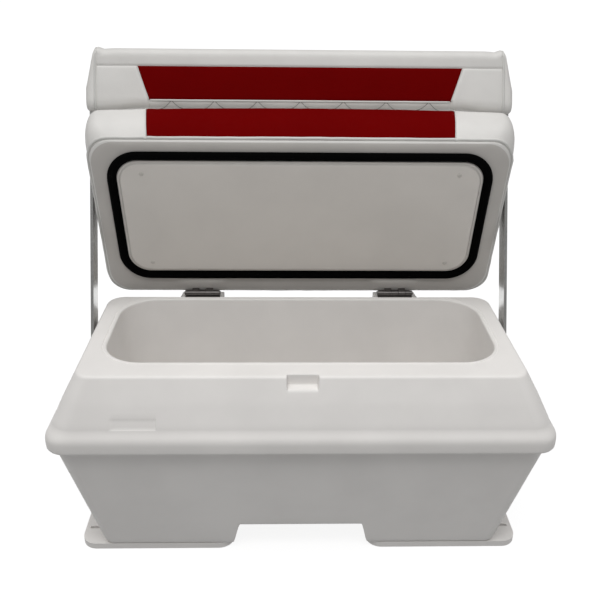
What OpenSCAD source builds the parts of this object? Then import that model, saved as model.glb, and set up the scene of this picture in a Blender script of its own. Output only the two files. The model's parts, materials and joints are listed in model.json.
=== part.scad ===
// Swing-back cooler seat: an insulated tub with a hinged, padded lid and a padded backrest
// on two pivoting side arms. Millimetres, +Z up, -Y is the front, the origin lies on the
// floor at the middle of the foot slots.

/* [Tub] */
// Width of the flat deck round the opening
deck_w = 810; // [800:1:816]
// Depth of the flat deck
deck_d = 332; // [328:1:336]
// Height of the deck above the floor
deck_z = 405; // [400:1:408]
// Width over the rim, which is the widest point of the tub
rim_w = 916; // [908:1:924]
// Depth over the rim
rim_d = 442; // [436:1:448]
// Height of the middle of the rim
rim_z = 302; // [298:1:304]
// Half the height of the rounded rim
rim_half_h = 21; // [18:1:24]
// Width of the body just under the rim
body_top_w = 898; // [890:1:902]
// Depth of the body just under the rim
body_top_d = 410; // [404:1:414]
// Width of the body at the foot plates
body_bottom_w = 776; // [768:1:780]
// Depth of the body at the foot plates
body_bottom_d = 308; // [304:1:314]

/* [Cavity] */
// Width of the opening in the deck
open_w = 736; // [730:1:738]
// Depth of the opening in the deck
open_d = 264; // [260:1:266]
// How far the opening is set back from the middle of the deck
open_y = 20; // [18:1:21]
// Height of the cavity floor
cavity_floor = 100; // [92:1:110]

/* [Feet] */
// Thickness of each foot plate
plate_t = 13; // [11:1:15]
// Distance between the middles of the mounting slots, left to right
slot_pitch_x = 820; // [816:1:824]
// Distance between the middles of the mounting slots, front to back
slot_pitch_y = 212; // [200:1:220]
// Length of a slot from end to end
slot_len = 34; // [30:1:36]
// Width of a slot
slot_w = 6.5; // [5.5:0.5:8]

/* [Lid] */
// Angle between the lid as modelled and the closed lid, in degrees
lid_open = 76; // [60:1:76]
// Width of the lid board
board_w = 812; // [808:1:814]
// Depth of the lid board
board_d = 358; // [354:1:360]
// Width of the gasket, across its band
gasket_w = 18; // [16:1:19]
// Height of the seat cushion above the lid board
seat_h = 105; // [96:1:106]

/* [Backrest] */
// Lean of the arms from upright, in degrees
arm_lean = 24; // [23:0.5:25]
// Width of an arm's flat bar
arm_w = 38; // [34:1:40]
// Thickness of an arm's flat bar
arm_t = 6; // [5:0.5:6]
// Distance from the pivot to the top of the backrest
back_top = 807; // [805:1:815]
// Height of the backrest, along the arms
back_h = 121; // [112:1:121]
// Thickness of the backrest
back_t = 78; // [70:1:80]

/* [Hidden] */

$fn = 48;
fit = 0.05;      // radial clearance of a running fit
gap = 0.3;       // space between two parts that only pass each other
far = 600;       // longer than any cut needs to be
corner_steps = 8;

white_shell = [0.88, 0.88, 0.86];
white_vinyl = [0.90, 0.90, 0.88];
red_vinyl = [0.44, 0.03, 0.03];
steel = [0.75, 0.75, 0.76];
black_rubber = [0.04, 0.04, 0.04];
foam_yellow = [0.93, 0.88, 0.68];
ply_wood = [0.76, 0.62, 0.42];
nylon = [0.93, 0.93, 0.90];

// ---- rounded-rectangle rings and lofts ----

// One rounded rectangle at height z: half sizes hx and hy, corner radius r, centred on y = yc
function ring(hx, hy, r, z, yc = 0) = [
    for (corner = [0:3], i = [0:corner_steps])
        let (a = 90 * (corner + i / corner_steps),
             sx = (corner == 0 || corner == 3) ? 1 : -1,
             sy = corner < 2 ? 1 : -1)
        [sx * (hx - r) + r * cos(a), yc + sy * (hy - r) + r * sin(a), z]
];

// A closed solid through rings that all have the same number of points, from the bottom up
module loft(rings) {
    n = len(rings[0]);
    top = len(rings) - 1;
    sides = [for (k = [0:top - 1], i = [0:n - 1])
        let (j = (i + 1) % n) [k * n + i, (k + 1) * n + i, (k + 1) * n + j, k * n + j]];
    bottom_face = [for (i = [0:n - 1]) i];
    top_face = [for (i = [n - 1:-1:0]) top * n + i];
    polyhedron([for (one = rings) for (p = one) p], concat([bottom_face], sides, [top_face]));
}

module both_sides() {
    children();
    mirror([1, 0, 0]) children();
}

// A cylinder whose axis runs along +X from x0 to x1
module x_rod(r, x0, x1) {
    translate([x0, 0, 0]) rotate([0, 90, 0]) cylinder(r = r, h = x1 - x0);
}

// A cylinder whose axis runs along +Y from y0 to y1
module y_rod(r, y0, y1) {
    translate([0, y0, 0]) rotate([-90, 0, 0]) cylinder(r = r, h = y1 - y0);
}

// ---- tub ----

rim_out_x = (rim_w - deck_w) / 2;
rim_out_y = (rim_d - deck_d) / 2;
rim_bulge = 8;                      // how far the rim stands out from its own middle line
deck_r = 30;
edge_r = 7;                         // rounding between deck and bevel
body_bottom_r = 18;
body_top_z = rim_z - rim_half_h - 4;

// A ring of the upper part: o is how far it stands out from the deck's edge, as a share of
// the rim's whole overhang
function upper_ring(o, z, inset = 0) = ring(
    deck_w / 2 + rim_out_x * o - inset, deck_d / 2 + rim_out_y * o - inset,
    deck_r + 8 * o - min(inset, 12), z);

// A ring of the body under the rim: s runs from 0 at the foot plates to 1 under the rim
function body_ring(s, inset = 0) = ring(
    (body_bottom_w + s * (body_top_w - body_bottom_w)) / 2 - inset,
    (body_bottom_d + s * (body_top_d - body_bottom_d)) / 2 - inset,
    body_bottom_r + 16 * s - min(inset, 12), plate_t + s * (body_top_z - plate_t));

rim_in = 1 - rim_bulge / rim_out_x;
rim_rings = [for (a = [-90:20:70])
    upper_ring(rim_in + (1 - rim_in) * cos(a), rim_z + rim_half_h * sin(a))];
edge_rings = [for (a = [30:20:90])
    upper_ring((edge_r * cos(a) - edge_r) / rim_out_x + 0.02, deck_z - edge_r * (1 - sin(a)))];

module tub_outside() {
    loft(concat([body_ring(0), body_ring(0.5), body_ring(0.97), body_ring(1)], rim_rings,
        [upper_ring(0.74, rim_z + rim_half_h + 3), upper_ring(0.4, deck_z - 42)], edge_rings));
}

open_r = 74;
cavity_shrink = 24;      // the cavity's floor is this much smaller than the opening, each side

function cavity_ring(s, grow = 0) = ring(
    open_w / 2 - cavity_shrink * (1 - s) + grow, open_d / 2 - cavity_shrink * (1 - s) + grow,
    open_r - 14 * (1 - s) + grow, cavity_floor + s * (deck_z - cavity_floor), open_y);

module cavity() {
    lip = 4;
    floor_r = 22;
    loft(concat(
        [for (a = [0:30:90]) ring(open_w / 2 - cavity_shrink - floor_r * (1 - sin(a)),
            open_d / 2 - cavity_shrink - floor_r * (1 - sin(a)),
            open_r - 14 - floor_r * (1 - sin(a)), cavity_floor + floor_r * (1 - cos(a)), open_y)],
        [cavity_ring(0.98)],
        [for (a = [30:30:90]) ring(open_w / 2 + lip * (1 - cos(a)), open_d / 2 + lip * (1 - cos(a)),
            open_r + lip * (1 - cos(a)), deck_z - lip + lip * sin(a), open_y)],
        [ring(open_w / 2 + lip, open_d / 2 + lip, open_r + lip, deck_z + 20, open_y)]));
}

// The space between the two skins, filled with foam
skin = 6;
pocket_x = 421;          // floor of the side pockets that the arms swing in

module core_outside() {
    core_top_w = min(body_top_w / 2 - skin, pocket_x - skin);
    loft([ring(body_bottom_w / 2 - skin, body_bottom_d / 2 - skin, 18, channel_top + skin),
        ring(core_top_w, body_top_d / 2 - skin, 22, body_top_z),
        ring(core_top_w, body_top_d / 2 - 4, 24, rim_z + 16),
        ring(deck_w / 2 - 10, deck_d / 2 - 2, 22, deck_z - 26)]);
}

module core_hole() {
    loft([ring(open_w / 2 - cavity_shrink + skin, open_d / 2 - cavity_shrink + skin,
            open_r - 10, cavity_floor - skin, open_y),
        ring(open_w / 2 + skin, open_d / 2 + skin, open_r + skin, deck_z, open_y)]);
}

// The gap between the two feet
channel_bottom_w = 266;
channel_top_w = 238;
channel_top = 68;

module channel() {
    translate([0, far / 2, 0]) rotate([90, 0, 0]) linear_extrude(far)
        polygon([[-channel_bottom_w / 2 - 1, -1], [channel_bottom_w / 2 + 1, -1],
            [channel_top_w / 2, channel_top], [-channel_top_w / 2, channel_top]]);
}

// ---- arm pivot and the pockets round it ----

pivot_z = 149;
arm_in_x = 424;
arm_out_x = arm_in_x + arm_t;
pocket_room = 7;                 // space on each side of an arm inside its pocket
pocket_half = arm_w / 2 + pocket_room;
boss_r = 34;
pivot_r = 5;
bushing_r = 8;

// Puts a shape drawn along +Z on the line of an arm that leans by angle
module on_arm(angle) {
    translate([0, 0, pivot_z]) rotate([-angle, 0, 0]) children();
}

module arm_pocket() {
    reach = 300;
    wing = [for (side = [1, -1])
        let (foot = pocket_half * [cos(arm_lean) * side, -sin(arm_lean)])
        [foot, foot + reach * [sin(arm_lean) * side, cos(arm_lean)]]];
    translate([pocket_x, 0, pivot_z]) rotate([90, 0, 90]) linear_extrude(60)
        polygon([wing[0][0], wing[0][1], wing[1][1], wing[1][0]]);
}

// ---- hinges ----

hinge_x = 211;
hinge_len = 75;
axis_y = 197;
axis_z = deck_z - 6;
knuckle_r = 5.6;
pin_r = 2.5;
leaf_t = 2.6;
seat_of_leaf = deck_z - 15;       // top of the moulded pad under each hinge
lid_plane = deck_z + 10.4;        // underside of the closed lid
knuckles = 5;
knuckle_gap = 0.4;
knuckle_len = (hinge_len - (knuckles - 1) * knuckle_gap) / knuckles;
screw_r = 2.1;
screw_pitch = 26;
leaf_depth = 31;                  // from the hinge axis to the lid leaf's far edge
tub_screw_y = 213;
lid_screw_y = 177;

module hinge_pad() {
    w = hinge_len + 18;
    translate([hinge_x - w / 2, 0, 0]) rotate([90, 0, 90]) linear_extrude(w)
        polygon([[164, deck_z - 60], [164, seat_of_leaf], [224, seat_of_leaf], [224, deck_z - 37],
            [206, rim_z + 28], [190, rim_z + 28]]);
}

// The knuckles whose number has the given parity, along X, with a hole for the pin
module knuckle_row(parity, bore) {
    translate([hinge_x - hinge_len / 2, axis_y, axis_z])
        for (i = [parity:2:knuckles - 1])
            difference() {
                x_rod(knuckle_r, i * (knuckle_len + knuckle_gap),
                    i * (knuckle_len + knuckle_gap) + knuckle_len);
                x_rod(bore, -1, hinge_len + 1);
            }
}

// A flat web for each knuckle of one parity, from z0 to z1 and y0 to y1
module knuckle_webs(parity, y0, y1, z0, z1) {
    for (i = [parity:2:knuckles - 1])
        translate([hinge_x - hinge_len / 2 + i * (knuckle_len + knuckle_gap), y0, z0])
            cube([knuckle_len, y1 - y0, z1 - z0]);
}

module screw_places(y) {
    for (k = [-1:1]) translate([hinge_x + k * screw_pitch, y, 0]) children();
}

module tub_leaf() {
    color(steel) difference() {
        union() {
            knuckle_row(0, pin_r);
            knuckle_webs(0, axis_y + pin_r + 0.8, axis_y + knuckle_r, seat_of_leaf, axis_z);
            translate([hinge_x - hinge_len / 2, axis_y - 4, seat_of_leaf])
                cube([hinge_len, 28, leaf_t]);
        }
        screw_places(tub_screw_y) translate([0, 0, seat_of_leaf - 1]) cylinder(r = screw_r, h = 9);
    }
}

module lid_leaf() {
    color(steel) in_lid() difference() {
        union() {
            knuckle_row(1, pin_r + fit);
            knuckle_webs(1, axis_y - knuckle_r, axis_y - pin_r - 0.8, axis_z, lid_plane);
            translate([hinge_x - hinge_len / 2, axis_y - leaf_depth, lid_plane - leaf_t])
                cube([hinge_len, leaf_depth, leaf_t]);
        }
        screw_places(lid_screw_y) translate([0, 0, lid_plane - 9]) cylinder(r = screw_r, h = 10);
    }
}

module hinge_pin() {
    color(steel) translate([hinge_x - hinge_len / 2, axis_y, axis_z]) union() {
        x_rod(pin_r, 0, hinge_len);
        x_rod(pin_r + 1.4, -1.6, 0);
        x_rod(pin_r + 1.4, hinge_len, hinge_len + 1.6);
    }
}

// A pan-head screw along -Z with its head's underside at z = 0
module pan_screw(head_r, head_h, shank_r, length) {
    rotate_extrude() polygon(concat([[0, -length], [shank_r, -length], [shank_r, 0], [head_r, 0]],
        [for (a = [0:30:60]) [head_r * cos(a), head_h * (0.3 + 0.7 * sin(a) / sin(60))]],
        [[0, head_h]]));
}

tub_screw_len = 20;
lid_screw_len = 12;

// ---- drain ----

drain_x = 300;
drain_z = 121;
drain_face = 183;                 // the flat of the moulded boss round the drain
drain_in = 128;
drain_boss_r = 27;
fitting_r = 14;
plug_r = 9;
washer_t = 2;
flange_t = 4;

module at_drain() {
    translate([drain_x, 0, drain_z]) children();
}

module tub_shell() {
    groove_out = 9;
    groove_in = 6;
    color(white_shell) difference() {
        union() {
            tub_outside();
            both_sides() hinge_pad();
            both_sides() translate([0, 0, pivot_z]) x_rod(boss_r, 380, pocket_x);
            at_drain() y_rod(drain_boss_r, 150, drain_face);
        }
        cavity();
        channel();
        both_sides() arm_pocket();
        finger_notch();
        label_recess();
        difference() {
            core_outside();
            core_hole();
        }
        loft_groove(groove_in, groove_out);
        at_drain() y_rod(fitting_r, drain_in - 20, drain_face + 1);
        both_sides() translate([0, 0, pivot_z]) x_rod(pivot_r, 388, pocket_x + 1);
        both_sides() screw_places(tub_screw_y)
            translate([0, 0, seat_of_leaf - tub_screw_len + leaf_t]) cylinder(r = screw_r, h = far);
        plate_screw_places() translate([0, 0, -1]) cylinder(r = plate_screw_r, h = 1 + plate_screw_len);
    }
}

module loft_groove(near, away) {
    depth = 1.6;
    difference() {
        loft([for (z = [deck_z - depth, deck_z + 5])
            ring(open_w / 2 + away, open_d / 2 + away, open_r + away, z, open_y)]);
        loft([for (z = [deck_z - 2 * depth, deck_z + 10])
            ring(open_w / 2 + near, open_d / 2 + near, open_r + near, z, open_y)]);
    }
}

// A notch for the fingers at the middle of the deck's front edge, with a flat ledge
notch_w = 55;
notch_in = 9;
notch_floor = deck_z - 21;

module finger_notch() {
    translate([-notch_w / 2, -deck_d / 2 - 60, notch_floor]) cube([notch_w, 60 + notch_in, 60]);
}

// A shallow blank panel, low on the left of the front bevel
module label_recess() {
    bevel_tilt = atan2(rim_out_y * 0.74, deck_z - rim_z - rim_half_h);
    translate([-297, -deck_d / 2 - rim_out_y * 0.69, rim_z + rim_half_h + 8])
        rotate([-bevel_tilt, 0, 0]) cube([80, 2.4, 22], center = true);
}

module foam_core() {
    color(foam_yellow) difference() {
        core_outside();
        core_hole();
        at_drain() y_rod(fitting_r, drain_in - 20, drain_face + 1);
        both_sides() translate([0, 0, pivot_z]) x_rod(pivot_r, 388, pocket_x + 1);
        both_sides() translate([0, 0, pivot_z]) x_rod(boss_r, 380, pocket_x);
    }
}

// ---- feet ----

plate_in_x = 133;
plate_out_x = 435;
plate_half_d = 153;
plate_r = 30;
plate_screw_r = 3;
plate_screw_len = 34;

module plate_screw_places() {
    both_sides() for (x = [185, 335], y = [-118, 118]) translate([x, y, 0]) children();
}

module foot_plate() {
    w = plate_out_x - plate_in_x;
    color(white_shell) difference() {
        translate([plate_in_x + w / 2, 0, 0])
            linear_extrude(plate_t) plate_outline(w / 2, plate_half_d, plate_r);
        for (sy = [-1, 1]) translate([slot_pitch_x / 2, sy * slot_pitch_y / 2, -1])
            linear_extrude(plate_t + 2) slot_outline();
        for (x = [185, 335], y = [-118, 118]) translate([x, y, -1]) {
            cylinder(r = plate_screw_r, h = plate_t + 2);
            cylinder(r = plate_screw_r * 2.2, h = 5);
        }
    }
}

module slot_outline() {
    straight = slot_len - slot_w;
    square([straight, slot_w], center = true);
    for (s = [-1, 1]) translate([s * straight / 2, 0]) circle(d = slot_w);
}

module plate_outline(hx, hy, r) {
    square([2 * hx - 2 * r, 2 * hy], center = true);
    square([2 * hx, 2 * hy - 2 * r], center = true);
    for (sx = [-1, 1], sy = [-1, 1]) translate([sx * (hx - r), sy * (hy - r)]) circle(r);
}

module foot_plate_screws() {
    color(steel) plate_screw_places() union() {
        translate([0, 0, 1]) cylinder(r = plate_screw_r * 2, h = 3);
        translate([0, 0, 4]) cylinder(r = plate_screw_r, h = plate_screw_len - 4);
    }
}

// ---- pivots ----

bushing_flange_r = 18;

module pivot_bushing() {
    color(nylon) translate([0, 0, pivot_z]) difference() {
        union() {
            x_rod(bushing_flange_r, pocket_x, arm_in_x - gap);
            x_rod(bushing_r, pocket_x, arm_out_x + gap);
        }
        x_rod(pivot_r, pocket_x - 1, arm_out_x + 2);
    }
}

module pivot_bolt() {
    head_x = arm_out_x + gap;
    color(steel) translate([0, 0, pivot_z]) union() {
        x_rod(pivot_r, 388, head_x + 1);
        x_rod(16, head_x, head_x + 2);
        translate([head_x + 2, 0, 0]) rotate([0, 90, 0]) rotate_extrude() polygon(concat(
            [[0, 0], [11, 0]], [for (a = [15:15:75]) [11 * cos(a), 7 * sin(a)]], [[0, 7]]));
    }
}

// Rubber blocks at the ends of each arm's travel, on the pocket's walls
module arm_stops() {
    color(black_rubber) both_sides() for (side = [-1, 1])
        on_arm(side * arm_lean)
            translate([pocket_x, side > 0 ? arm_w / 2 + gap : -pocket_half, 156])
                cube([9, pocket_room - gap, 26]);
}

// ---- drain parts ----

module drain_fitting() {
    color(nylon) at_drain() difference() {
        union() {
            y_rod(fitting_r, drain_in, drain_face + washer_t);
            y_rod(23, drain_face + washer_t, drain_face + washer_t + flange_t);
        }
        y_rod(plug_r, drain_in - 1, drain_face + 20);
    }
}

module drain_washer() {
    color(black_rubber) at_drain() difference() {
        y_rod(21, drain_face, drain_face + washer_t);
        y_rod(fitting_r, drain_face - 1, drain_face + washer_t + 1);
    }
}

plug_face = drain_face + washer_t + flange_t + 2.5;

module drain_plug() {
    color(nylon) at_drain() union() {
        y_rod(plug_r - fit, plug_face - 34, plug_face);
        y_rod(18, plug_face, plug_face + 5);
        translate([-14, plug_face + 5, -3]) cube([28, 8, 6]);
    }
}

module drain_plug_seal() {
    color(black_rubber) at_drain() difference() {
        y_rod(12.5, plug_face - 2.2, plug_face);
        y_rod(plug_r - fit, plug_face - 4, plug_face + 1);
    }
}

// ---- lid, drawn closed and then swung open about the hinge axis ----

module in_lid() {
    translate([0, axis_y, axis_z]) rotate([-lid_open, 0, 0]) translate([0, -axis_y, -axis_z])
        children();
}

lid_y = 20;                        // middle of the closed lid, front to back
board_t = 12;
lid_front_r = 52;
gasket_half_x = 372;
gasket_half_y = 143;
gasket_y = 13.5;
gasket_r = 54;
gasket_h = 10;
liner_t = 7;

module lid_screw_holes() {
    both_sides() screw_places(lid_screw_y)
        translate([0, 0, lid_plane - 3]) cylinder(r = screw_r, h = 3 + lid_screw_len - leaf_t);
    liner_screw_places() translate([0, 0, lid_plane - 3]) cylinder(r = 1.8, h = 3 + 9);
}

module lid_board() {
    color(ply_wood) in_lid() difference() {
        translate([0, lid_y, lid_plane]) linear_extrude(board_t)
            plate_outline(board_w / 2, board_d / 2, lid_front_r - 6);
        lid_screw_holes();
    }
}

module liner_outline(inset) {
    translate([0, gasket_y]) plate_outline(gasket_half_x - gasket_w / 2 - inset,
        gasket_half_y - gasket_w / 2 - inset, gasket_r - gasket_w / 2 - inset);
}

module liner_screw_places() {
    for (sx = [-1, 1], sy = [-1, 1])
        translate([sx * (gasket_half_x - 60), gasket_y + sy * (gasket_half_y - 36), 0]) children();
}

// A tray-shaped panel: a flat margin against the board and a raised middle field
module lid_liner() {
    step = 6;
    color([0.80, 0.79, 0.76]) in_lid() difference() {
        union() {
            translate([0, 0, lid_plane - 2.5]) linear_extrude(2.5) liner_outline(1);
            translate([0, 0, lid_plane - liner_t]) linear_extrude(liner_t) liner_outline(step);
        }
        liner_screw_places() translate([0, 0, lid_plane - 9]) cylinder(r = 1.8, h = 12);
    }
}

module liner_screws() {
    color(nylon) in_lid() liner_screw_places() translate([0, 0, lid_plane - liner_t])
        rotate([180, 0, 0]) pan_screw(4.5, 1.6, 1.8, liner_t + 9);
}

module lid_gasket() {
    color(black_rubber) in_lid() translate([0, gasket_y, lid_plane - gasket_h])
        linear_extrude(gasket_h) difference() {
            plate_outline(gasket_half_x + gasket_w / 2, gasket_half_y + gasket_w / 2,
                gasket_r + gasket_w / 2);
            plate_outline(gasket_half_x - gasket_w / 2, gasket_half_y - gasket_w / 2,
                gasket_r - gasket_w / 2);
        }
}

module hinge_lid_screws() {
    color(steel) in_lid() both_sides() screw_places(lid_screw_y)
        translate([0, 0, lid_plane - leaf_t]) rotate([180, 0, 0])
            pan_screw(4, 1.8, screw_r, lid_screw_len);
}

module hinge_tub_screws() {
    color(steel) both_sides() screw_places(tub_screw_y)
        translate([0, 0, seat_of_leaf + leaf_t]) pan_screw(4, 1.8, screw_r, tub_screw_len);
}

// A ring of the seat cushion: out is how far it stands out from the board at each side, front
// and back, and up is its height above the board
function seat_ring(out, front, back, r, up) = ring(
    board_w / 2 + out, (board_d + front + back) / 2, r, lid_plane + board_t + up,
    lid_y + (back - front) / 2);

module seat_cushion() {
    color(white_vinyl) in_lid() loft([
        seat_ring(5, 1, 1, lid_front_r - 4, 0),
        seat_ring(11, 15, 7, lid_front_r - 12, 0.17 * seat_h),
        seat_ring(15, 26, 9, lid_front_r - 24, 0.5 * seat_h),
        seat_ring(14, 24, 7, lid_front_r - 28, 0.8 * seat_h),
        seat_ring(2, 10, -3, lid_front_r - 30, 0.92 * seat_h),
        seat_ring(-22, -14, -23, lid_front_r - 30, seat_h)]);
}

// ---- backrest, drawn upright above the pivot and then leaned back ----

back_half_w = 423;
frame_t = 18;
frame_half_w = arm_in_x;
frame_low = back_top - back_h + 3;
frame_high = back_top - 40;
arm_bolt_r = 3.25;
arm_end = 728;
bolt_heights = [701, 719];

module arm_bolt_holes(x0, x1) {
    for (s = bolt_heights) translate([0, 0, s]) x_rod(arm_bolt_r, x0, x1);
}

module back_frame() {
    color(ply_wood) on_arm(arm_lean) difference() {
        translate([-frame_half_w, -frame_t / 2, frame_low])
            cube([2 * frame_half_w, frame_t, frame_high - frame_low]);
        both_sides() arm_bolt_holes(arm_in_x - 34, arm_in_x + 1);
    }
}

// Outline of the cushion across its thickness, rounded above and below
module back_section() {
    round_r = 22;
    translate([-back_t / 2, back_top - back_h]) translate([round_r, round_r])
        offset(round_r) square([back_t - 2 * round_r, back_h - 2 * round_r]);
}

module back_cushion() {
    color(red_vinyl) on_arm(arm_lean) difference() {
        translate([-back_half_w, 0, 0]) rotate([90, 0, 90]) linear_extrude(2 * back_half_w)
            back_section();
        translate([-far, -frame_t / 2, frame_low]) cube([2 * far, frame_t, frame_high - frame_low]);
    }
}

module arm() {
    color(steel) on_arm(arm_lean) difference() {
        union() {
            x_rod(arm_w / 2, arm_in_x, arm_out_x);
            translate([arm_in_x, -arm_w / 2, 0]) cube([arm_t, arm_w, arm_end - arm_w / 2]);
            translate([0, 0, arm_end - arm_w / 2]) x_rod(arm_w / 2, arm_in_x, arm_out_x);
        }
        x_rod(bushing_r + fit, arm_in_x - 1, arm_out_x + 1);
        arm_bolt_holes(arm_in_x - 1, arm_out_x + 1);
    }
}

module arm_bolts() {
    color(steel) both_sides() on_arm(arm_lean) for (s = bolt_heights)
        translate([arm_out_x, 0, s]) rotate([0, 90, 0]) pan_screw(6, 1.6, arm_bolt_r, arm_t + 34);
}

tub_shell();
foam_core();
mirror([1, 0, 0]) foot_plate();  // left_foot_plate
foot_plate();  // right_foot_plate
foot_plate_screws();
mirror([1, 0, 0]) tub_leaf();  // left_hinge_tub_leaf
tub_leaf();  // right_hinge_tub_leaf
mirror([1, 0, 0]) hinge_pin();  // left_hinge_pin
hinge_pin();  // right_hinge_pin
hinge_tub_screws();
mirror([1, 0, 0]) pivot_bushing();  // left_pivot_bushing
pivot_bushing();  // right_pivot_bushing
mirror([1, 0, 0]) pivot_bolt();  // left_pivot_bolt
pivot_bolt();  // right_pivot_bolt
arm_stops();
drain_fitting();
drain_washer();
lid_board();
lid_liner();
lid_gasket();
mirror([1, 0, 0]) lid_leaf();  // left_hinge_lid_leaf
lid_leaf();  // right_hinge_lid_leaf
hinge_lid_screws();
liner_screws();
seat_cushion();
back_frame();
back_cushion();
mirror([1, 0, 0]) arm();  // left_arm
arm();  // right_arm
arm_bolts();
drain_plug();
drain_plug_seal();
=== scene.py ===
"""Looks of the swing-back cooler seat: moulded tub, hinged padded lid and padded swinging backrest.
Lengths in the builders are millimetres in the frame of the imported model; MM turns them to metres."""
import json
import math

import bmesh
import bpy
import numpy as np
from mathutils import Matrix, Vector

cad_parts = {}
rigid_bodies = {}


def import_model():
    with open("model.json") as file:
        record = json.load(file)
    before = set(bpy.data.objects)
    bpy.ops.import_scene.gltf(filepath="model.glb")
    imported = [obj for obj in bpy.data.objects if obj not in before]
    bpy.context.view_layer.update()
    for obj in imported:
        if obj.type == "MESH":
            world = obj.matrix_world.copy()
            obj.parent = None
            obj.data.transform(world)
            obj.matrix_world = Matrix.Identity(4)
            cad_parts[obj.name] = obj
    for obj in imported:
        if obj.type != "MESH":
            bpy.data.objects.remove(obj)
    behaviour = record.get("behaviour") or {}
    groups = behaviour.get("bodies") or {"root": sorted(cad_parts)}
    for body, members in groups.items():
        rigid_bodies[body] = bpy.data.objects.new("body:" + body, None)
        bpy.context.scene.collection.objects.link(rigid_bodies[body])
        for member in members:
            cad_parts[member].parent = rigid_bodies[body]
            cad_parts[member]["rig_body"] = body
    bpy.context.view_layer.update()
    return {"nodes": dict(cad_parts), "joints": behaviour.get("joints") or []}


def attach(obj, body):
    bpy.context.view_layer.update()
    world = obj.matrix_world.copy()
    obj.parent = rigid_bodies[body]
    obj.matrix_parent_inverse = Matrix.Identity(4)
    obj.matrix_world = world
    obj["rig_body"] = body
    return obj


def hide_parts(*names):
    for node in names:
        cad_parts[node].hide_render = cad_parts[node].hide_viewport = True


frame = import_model()

MM = 0.001
joints = {j["name"]: j for j in frame["joints"]}
lid_axis = np.array(joints["lid_hinge"]["pos_m"]) / MM
lid_open = math.radians(joints["lid_hinge"]["range_deg"][1])
pivot = np.array(joints["backrest_swing"]["pos_m"]) / MM
arm_lean = math.radians(joints["backrest_swing"]["range_deg"][1] / 2)


# ---------------------------------------------------------------- materials

def new_material(name, color, rough, metallic=0.0):
    m = bpy.data.materials.new(name)
    m.use_nodes = True
    shader = m.node_tree.nodes["Principled BSDF"]
    shader.inputs["Base Color"].default_value = (*color, 1)
    shader.inputs["Roughness"].default_value = rough
    shader.inputs["Metallic"].default_value = metallic
    return m, m.node_tree, shader


def noise_node(tree, scale, detail=2.0, stretch=(1, 1, 1)):
    place = tree.nodes.new("ShaderNodeTexCoord")
    mapping = tree.nodes.new("ShaderNodeMapping")
    mapping.inputs["Scale"].default_value = stretch
    tex = tree.nodes.new("ShaderNodeTexNoise")
    tex.inputs["Scale"].default_value = scale
    tex.inputs["Detail"].default_value = detail
    tree.links.new(place.outputs["Object"], mapping.inputs["Vector"])
    tree.links.new(mapping.outputs["Vector"], tex.inputs["Vector"])
    return tex.outputs["Fac"]


def vary_color(tree, shader, fac, low, high, lo=0.35, hi=0.65):
    ramp = tree.nodes.new("ShaderNodeValToRGB")
    ramp.color_ramp.elements[0].position = lo
    ramp.color_ramp.elements[1].position = hi
    ramp.color_ramp.elements[0].color = (*low, 1)
    ramp.color_ramp.elements[1].color = (*high, 1)
    tree.links.new(fac, ramp.inputs["Fac"])
    tree.links.new(ramp.outputs["Color"], shader.inputs["Base Color"])


def vary_rough(tree, shader, fac, low, high):
    span = tree.nodes.new("ShaderNodeMapRange")
    span.inputs["From Min"].default_value = 0.3
    span.inputs["From Max"].default_value = 0.7
    span.inputs["To Min"].default_value = low
    span.inputs["To Max"].default_value = high
    tree.links.new(fac, span.inputs["Value"])
    tree.links.new(span.outputs["Result"], shader.inputs["Roughness"])


def bumps(tree, shader, layers):
    """layers: (height socket, distance in metres, strength), from coarse to fine."""
    normal = None
    for height, distance, strength in layers:
        bump = tree.nodes.new("ShaderNodeBump")
        bump.inputs["Distance"].default_value = distance
        bump.inputs["Strength"].default_value = strength
        tree.links.new(height, bump.inputs["Height"])
        if normal is not None:
            tree.links.new(normal, bump.inputs["Normal"])
        normal = bump.outputs["Normal"]
    tree.links.new(normal, shader.inputs["Normal"])


def shade(color, k):
    return tuple(c * k for c in color)


def plastic(name, color, rough, peel=0.00012, peel_scale=520, specular=0.5):
    m, tree, shader = new_material(name, color, rough)
    shader.inputs["Specular IOR Level"].default_value = specular
    broad = noise_node(tree, 9, 3)
    vary_color(tree, shader, broad, shade(color, 0.955), shade(color, 1.0))
    vary_rough(tree, shader, noise_node(tree, 60, 4), rough - 0.06, rough + 0.07)
    bumps(tree, shader, [(noise_node(tree, 26, 2), 0.0006, 0.25),
                         (noise_node(tree, peel_scale, 3), peel, 0.5)])
    return m


def vinyl(name, color, rough, specular=0.45):
    m, tree, shader = new_material(name, color, rough)
    shader.inputs["Specular IOR Level"].default_value = specular
    vary_color(tree, shader, noise_node(tree, 14, 3), shade(color, 0.95), shade(color, 1.0))
    vary_rough(tree, shader, noise_node(tree, 90, 4), rough - 0.05, rough + 0.08)
    grain = tree.nodes.new("ShaderNodeTexVoronoi")
    grain.feature = "F1"
    grain.inputs["Scale"].default_value = 620
    place = tree.nodes.new("ShaderNodeTexCoord")
    tree.links.new(place.outputs["Object"], grain.inputs["Vector"])
    bumps(tree, shader, [(noise_node(tree, 34, 3), 0.0009, 0.35),
                         (grain.outputs["Distance"], 0.00022, 0.5)])
    return m


def metal(name, color, rough, stretch, brush=0.00004, scale=300):
    m, tree, shader = new_material(name, color, rough, 1.0)
    line = noise_node(tree, scale, 4, stretch)
    vary_rough(tree, shader, line, rough - 0.05, rough + 0.1)
    vary_color(tree, shader, noise_node(tree, 40, 3), shade(color, 0.9), color)
    bumps(tree, shader, [(line, brush, 0.6)])
    return m


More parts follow.
